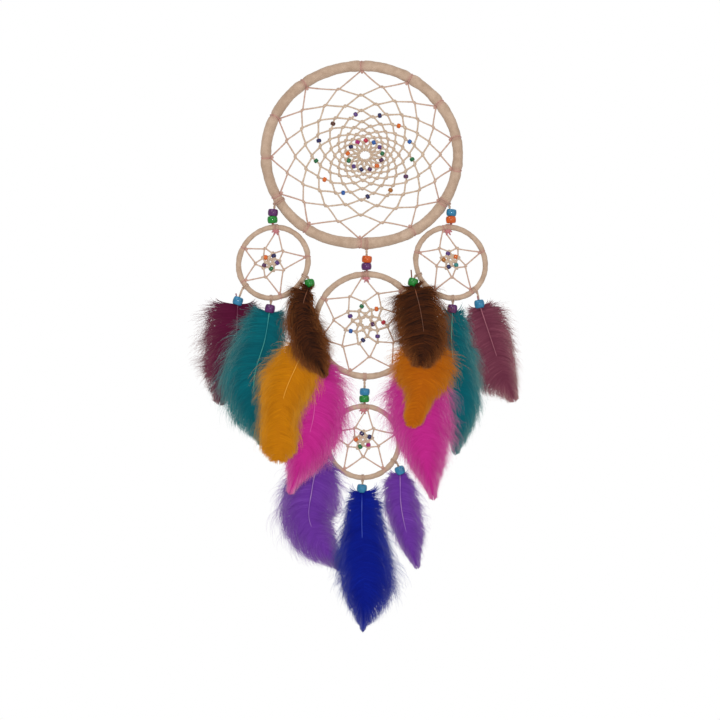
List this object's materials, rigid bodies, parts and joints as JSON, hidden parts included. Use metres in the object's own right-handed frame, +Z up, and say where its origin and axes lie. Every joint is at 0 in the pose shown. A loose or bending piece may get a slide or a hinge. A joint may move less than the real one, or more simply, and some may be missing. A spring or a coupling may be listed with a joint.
{
  "type": "dream catcher",
  "caption": "Hanging dream catcher: a large wrapped hoop with a knotted thread web, smaller webbed hoops hung from it on beaded laces, and dyed feathers on beads round their rims.",
  "frame": {"origin": "the point inside the top of the main hoop where a nail or hook holds it up", "axes": "+Z up, +X to the right as seen from the front, -Y towards the front; every hoop stands in the plane Y = 0"},
  "size_m": [0.2565, 0.0139, 0.4646],
  "materials": {
    "steel": "satin",
    "suede": "matte",
    "web_thread": "matte",
    "tie_thread": "matte",
    "seed_beads": "gloss",
    "hanger_beads": "gloss",
    "bead_blue": "gloss",
    "bead_purple": "gloss",
    "bead_green": "gloss",
    "bead_orange": "gloss",
    "maroon_feather": "matte",
    "teal_feather": "matte",
    "brown_feather": "matte",
    "yellow_feather": "matte",
    "magenta_feather": "matte",
    "purple_feather": "matte",
    "blue_feather": "matte"
  },
  "bodies": {
    "main_hoop": {"main_ring_wire": "steel", "main_ring_wrap": "suede", "main_web": "web_thread", "main_web_beads": "seed_beads", "main_ties": "tie_thread"},
    "left_hoop": {"left_ring_wire": "steel", "left_ring_wrap": "suede", "left_web": "web_thread", "left_web_beads": "seed_beads", "left_ties": "tie_thread"},
    "right_hoop": {"right_ring_wire": "steel", "right_ring_wrap": "suede", "right_web": "web_thread", "right_web_beads": "seed_beads", "right_ties": "tie_thread"},
    "middle_hoop": {"middle_ring_wire": "steel", "middle_ring_wrap": "suede", "middle_web": "web_thread", "middle_web_beads": "seed_beads", "middle_ties": "tie_thread"},
    "bottom_hoop": {"bottom_ring_wire": "steel", "bottom_ring_wrap": "suede", "bottom_web": "web_thread", "bottom_web_beads": "seed_beads", "bottom_ties": "tie_thread"},
    "left_hanger": {"left_hanger_lace": "suede", "left_hanger_beads": "hanger_beads"},
    "right_hanger": {"right_hanger_lace": "suede", "right_hanger_beads": "hanger_beads"},
    "middle_hanger": {"middle_hanger_lace": "suede", "middle_hanger_beads": "hanger_beads"},
    "bottom_hanger": {"bottom_hanger_lace": "suede", "bottom_hanger_beads": "hanger_beads"},
    "left_maroon_string": {"left_maroon_bead": "bead_blue", "left_maroon_feather": "maroon_feather"},
    "left_teal_string": {"left_teal_bead": "bead_purple", "left_teal_feather": "teal_feather"},
    "left_brown_string": {"left_brown_bead": "bead_green", "left_brown_feather": "brown_feather"},
    "left_yellow_string": {"left_yellow_bead": "bead_orange", "left_yellow_feather": "yellow_feather"},
    "left_magenta_string": {"left_magenta_bead": "bead_purple", "left_magenta_feather": "magenta_feather"},
    "right_brown_string": {"right_brown_bead": "bead_green", "right_brown_feather": "brown_feather"},
    "right_yellow_string": {"right_yellow_bead": "bead_orange", "right_yellow_feather": "yellow_feather"},
    "right_magenta_string": {"right_magenta_bead": "bead_blue", "right_magenta_feather": "magenta_feather"},
    "right_teal_string": {"right_teal_bead": "bead_purple", "right_teal_feather": "teal_feather"},
    "right_maroon_string": {"right_maroon_bead": "bead_blue", "right_maroon_feather": "maroon_feather"},
    "bottom_left_purple_string": {"bottom_left_purple_bead": "bead_purple", "bottom_left_purple_feather": "purple_feather"},
    "bottom_blue_string": {"bottom_blue_bead": "bead_blue", "bottom_blue_feather": "blue_feather"},
    "bottom_right_purple_string": {"bottom_right_purple_bead": "bead_blue", "bottom_right_purple_feather": "purple_feather"}
  },
  "joints": [
    {"name": "left_hanger_swing", "type": "hinge", "parent": "main_hoop", "child": "left_hanger", "pos_m": [-0.0731, 0, -0.10999], "axis": [0, 1, 0], "range_deg": [0, 20]},
    {"name": "right_hanger_swing", "type": "hinge", "parent": "main_hoop", "child": "right_hanger", "pos_m": [0.0731, 0, -0.10999], "axis": [0, -1, 0], "range_deg": [0, 20]},
    {"name": "middle_hanger_swing", "type": "hinge", "parent": "main_hoop", "child": "middle_hanger", "pos_m": [0.00386, 0, -0.14743], "axis": [0, 1, 0], "range_deg": [-2, 5]},
    {"name": "bottom_hanger_swing", "type": "hinge", "parent": "middle_hoop", "child": "bottom_hanger", "pos_m": [0.00208, 0, -0.2547], "axis": [0, 1, 0], "range_deg": [-8, 8]},
    {"name": "left_hoop_twist", "type": "hinge", "parent": "left_hanger", "child": "left_hoop", "pos_m": [-0.0731, 0, -0.12799], "axis": [0, 0, -1], "range_deg": [0, 25]},
    {"name": "right_hoop_twist", "type": "hinge", "parent": "right_hanger", "child": "right_hoop", "pos_m": [0.0731, 0, -0.12799], "axis": [0, 0, 1], "range_deg": [0, 25]},
    {"name": "middle_hoop_swing", "type": "hinge", "parent": "middle_hanger", "child": "middle_hoop", "pos_m": [0.00386, 0, -0.16648], "axis": [0, 1, 0], "range_deg": [-4, 5]},
    {"name": "bottom_hoop_tilt", "type": "hinge", "parent": "bottom_hanger", "child": "bottom_hoop", "pos_m": [0.00208, 0, -0.2747], "axis": [1, 0, 0], "range_deg": [0, 30]},
    {"name": "left_maroon_swing", "type": "hinge", "parent": "left_hoop", "child": "left_maroon_string", "pos_m": [-0.09806, 0, -0.17855], "axis": [0, 1, 0], "range_deg": [-12, 20]},
    {"name": "left_teal_swing", "type": "hinge", "parent": "left_hoop", "child": "left_teal_string", "pos_m": [-0.07451, 0, -0.18978], "axis": [0, 1, 0], "range_deg": [-10, 15]},
    {"name": "left_brown_swing", "type": "hinge", "parent": "left_hoop", "child": "left_brown_string", "pos_m": [-0.04372, 0, -0.16943], "axis": [0, 1, 0], "range_deg": [-8, 3]},
    {"name": "left_yellow_swing", "type": "hinge", "parent": "middle_hoop", "child": "left_yellow_string", "pos_m": [-0.04204, 0, -0.21158], "axis": [0, 1, 0], "range_deg": [-6, 15]},
    {"name": "left_magenta_swing", "type": "hinge", "parent": "middle_hoop", "child": "left_magenta_string", "pos_m": [-0.03819, 0, -0.22703], "axis": [0, 1, 0], "range_deg": [-10, 15]},
    {"name": "right_brown_swing", "type": "hinge", "parent": "right_hoop", "child": "right_brown_string", "pos_m": [0.04322, 0, -0.1683], "axis": [0, 1, 0], "range_deg": [-10, 8]},
    {"name": "right_yellow_swing", "type": "hinge", "parent": "middle_hoop", "child": "right_yellow_string", "pos_m": [0.04944, 0, -0.21158], "axis": [0, 1, 0], "range_deg": [-15, 6]},
    {"name": "right_magenta_swing", "type": "hinge", "parent": "middle_hoop", "child": "right_magenta_string", "pos_m": [0.0438, 0, -0.23061], "axis": [0, 1, 0], "range_deg": [-15, 10]},
    {"name": "right_teal_swing", "type": "hinge", "parent": "right_hoop", "child": "right_teal_string", "pos_m": [0.07451, 0, -0.18978], "axis": [0, 1, 0], "range_deg": [-15, 10]},
    {"name": "right_maroon_swing", "type": "hinge", "parent": "right_hoop", "child": "right_maroon_string", "pos_m": [0.09478, 0, -0.182], "axis": [0, 1, 0], "range_deg": [-20, 12]},
    {"name": "bottom_left_purple_swing", "type": "hinge", "parent": "bottom_hoop", "child": "bottom_left_purple_string", "pos_m": [-0.03145, 0, -0.3079], "axis": [0, 1, 0], "range_deg": [-8, 20]},
    {"name": "bottom_blue_swing", "type": "hinge", "parent": "bottom_hoop", "child": "bottom_blue_string", "pos_m": [0.00053, 0, -0.3367], "axis": [0, 1, 0], "range_deg": [-15, 15]},
    {"name": "bottom_right_purple_swing", "type": "hinge", "parent": "bottom_hoop", "child": "bottom_right_purple_string", "pos_m": [0.02892, 0, -0.32129], "axis": [0, 1, 0], "range_deg": [-20, 8]}
  ]
}
